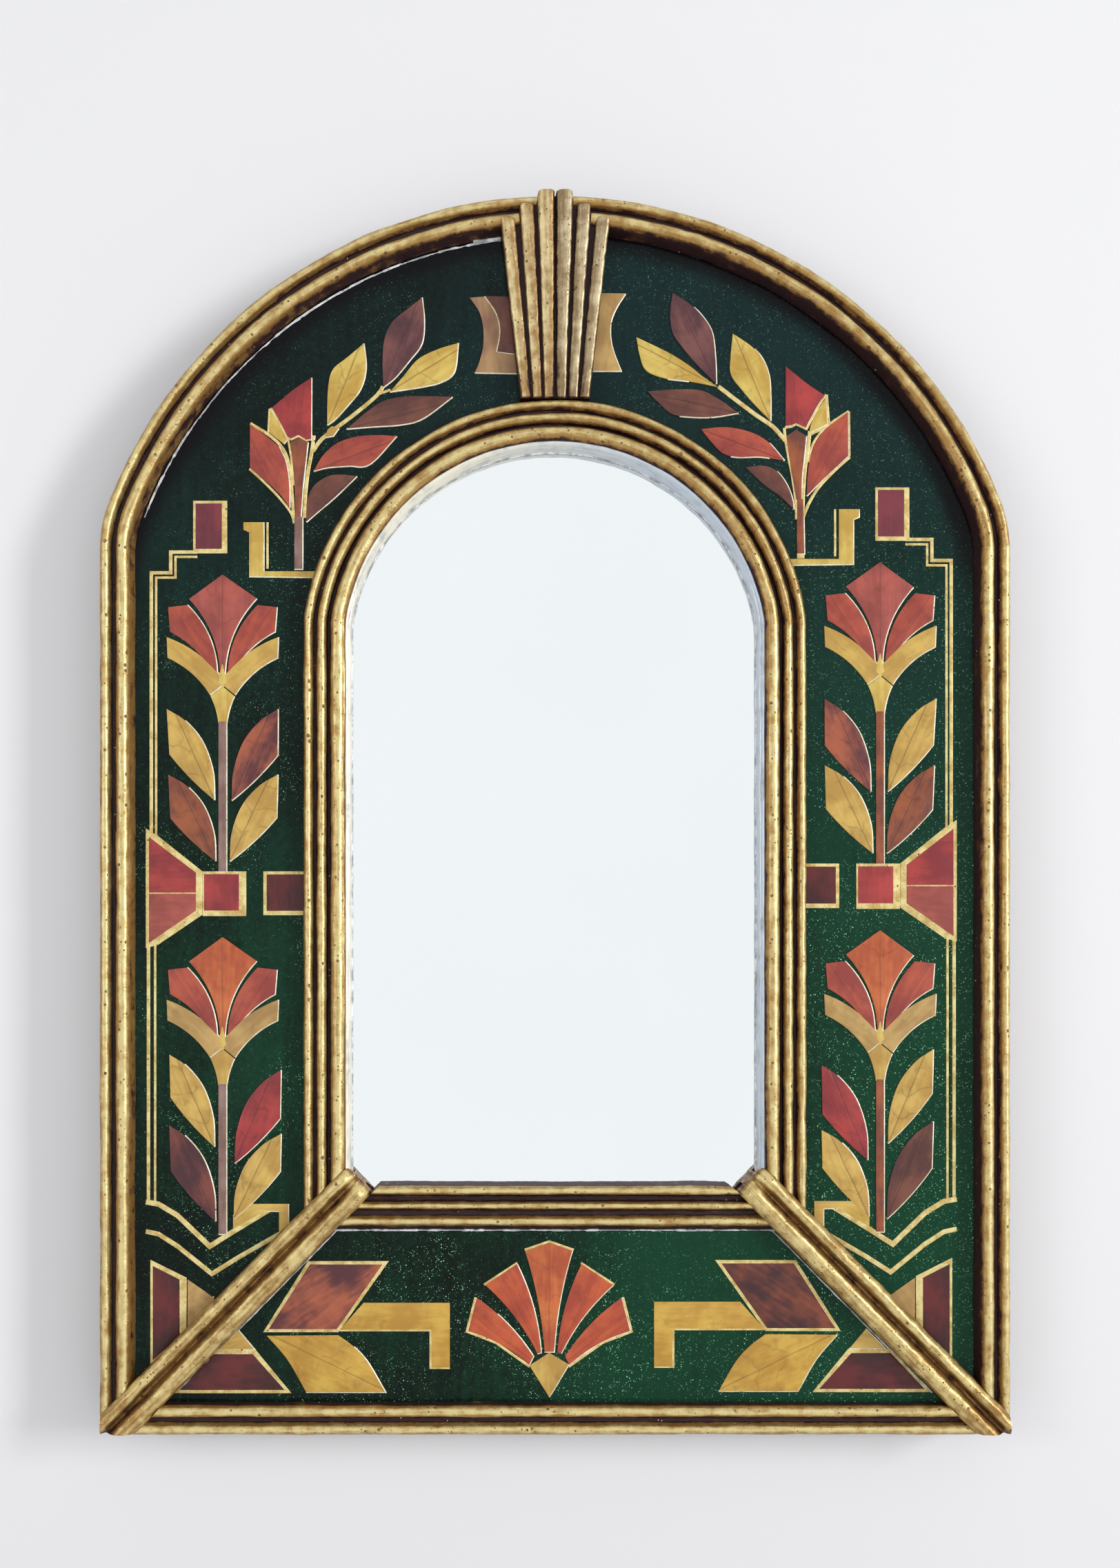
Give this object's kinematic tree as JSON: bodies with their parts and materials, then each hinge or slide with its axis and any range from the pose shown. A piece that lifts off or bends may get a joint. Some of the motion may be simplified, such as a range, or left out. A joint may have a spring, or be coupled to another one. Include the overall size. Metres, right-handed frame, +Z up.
{
  "type": "wall mirror",
  "caption": "Arched wall mirror with a dark green flowered border between reeded gilt mouldings, a fluted keystone and a hanging ring behind.",
  "frame": {"origin": "on the wall plane and the centre line, where a wall hook bears in the raised hanger ring", "axes": "+Z up, the mirror faces -Y, +X to the viewer's right"},
  "size_m": [0.3344, 0.0289, 0.4566],
  "materials": {
    "gilt_wood": "gold leaf over dark red-brown bole, worn",
    "board_wood": "dark brown stain, matt",
    "border_lacquer": "dark green glitter lacquer with painted ornament, high gloss",
    "mirror": "silvered glass",
    "steel": "zinc plated",
    "bumper_rubber": "matt"
  },
  "bodies": {
    "mirror_frame": {"back_board": "board_wood", "mirror_glass": "mirror", "border_panel_left": "border_lacquer", "border_panel_bottom": "border_lacquer", "border_panel_right": "border_lacquer", "outer_stile_left": "gilt_wood", "outer_stile_right": "gilt_wood", "outer_arch_left": "gilt_wood", "outer_arch_right": "gilt_wood", "outer_bottom_rail": "gilt_wood", "inner_stile_left": "gilt_wood", "inner_stile_right": "gilt_wood", "inner_arch": "gilt_wood", "inner_bottom_rail": "gilt_wood", "corner_batten_left": "gilt_wood", "corner_batten_right": "gilt_wood", "keystone_block": "gilt_wood", "hanger_strap": "steel", "moulding_screws": "steel", "hanger_screws": "steel", "wall_bumpers": "bumper_rubber", "keystone_flute_1": "gilt_wood", "keystone_flute_2": "gilt_wood", "keystone_flute_3": "gilt_wood", "keystone_flute_4": "gilt_wood", "keystone_flute_5": "gilt_wood", "keystone_flute_6": "gilt_wood"},
    "ring": {"hanger_ring": "steel"}
  },
  "joints": [
    {"name": "hanger_swing", "type": "hinge", "parent": "mirror_frame", "child": "ring", "pos_m": [0, -0.0029, -0.0142], "axis": [1, 0, 0], "range_deg": [0, 180]}
  ]
}
